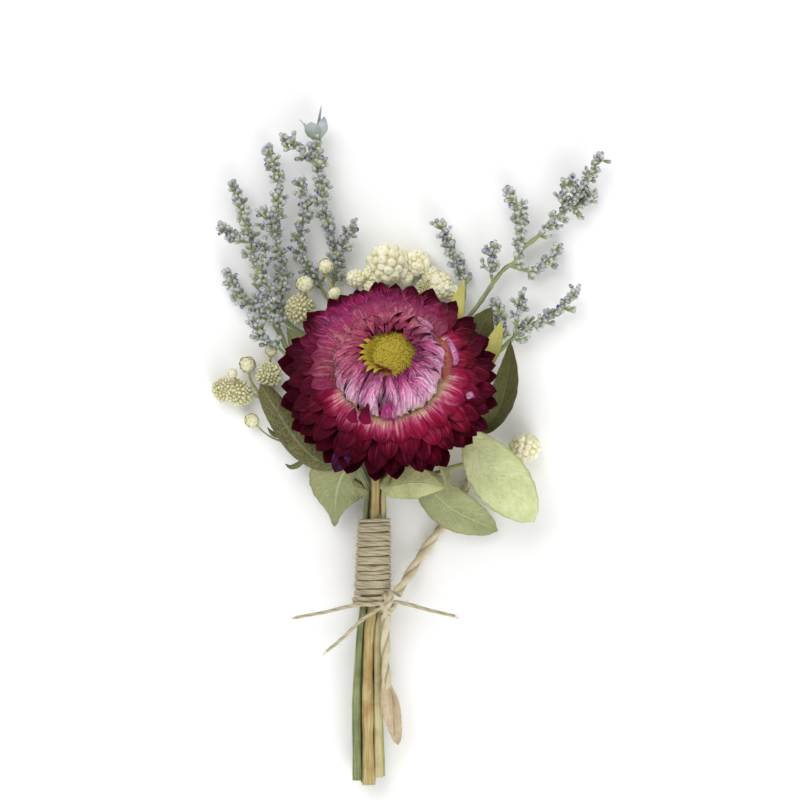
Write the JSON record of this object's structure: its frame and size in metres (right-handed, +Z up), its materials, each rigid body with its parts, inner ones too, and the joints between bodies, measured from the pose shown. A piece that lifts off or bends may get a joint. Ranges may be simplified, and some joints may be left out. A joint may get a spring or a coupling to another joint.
{
  "type": "dried flower bouquet",
  "caption": "Small hand-tied bouquet of dried flowers: a layered strawflower head over leaf sprigs, sea lavender sprays and cream button heads, bound in twine.",
  "frame": {"origin": "on the surface that the bouquet lies on, under the middle of its footprint", "axes": "+Y from the cut stem ends to the spray tips, +X to the right as seen from above, +Z up out of the surface"},
  "size_m": [0.0841, 0.1445, 0.0339],
  "materials": {
    "crimson_bract": "dry papery bract, satin sheen, crimson to burgundy",
    "pink_bract": "dry papery bract, satin sheen, lilac pink with magenta streaks",
    "disc_yellow": "matte olive yellow florets",
    "sage_leaf": "dry matte leaf, sage to olive green",
    "sea_lavender": "matte grey-green twigs with pale lilac florets",
    "cream_head": "papery pale cream buds on tan stalks",
    "ochre_stem": "dry fibrous stem, ochre brown",
    "jute": "twisted natural jute, matte and slightly hairy"
  },
  "bodies": {
    "root": {"strawflower_outer_bracts": "crimson_bract", "strawflower_inner_bracts": "pink_bract", "strawflower_disc": "disc_yellow", "strawflower_stem": "ochre_stem", "leaf_sprig_left": "sage_leaf", "leaf_sprig_right": "sage_leaf", "leaf_sprig_upper_right": "sage_leaf", "sea_lavender_left_outer": "sea_lavender", "sea_lavender_left_inner": "sea_lavender", "sea_lavender_right_upper": "sea_lavender", "sea_lavender_right_lower": "sea_lavender", "cream_stalk_top": "cream_head", "cream_stalk_left": "cream_head", "cream_stalk_right": "cream_head", "twine_wrap": "jute", "twine_tie": "jute", "thick_cord_free": "jute", "thick_cord_end": "jute"}
  },
  "joints": []
}
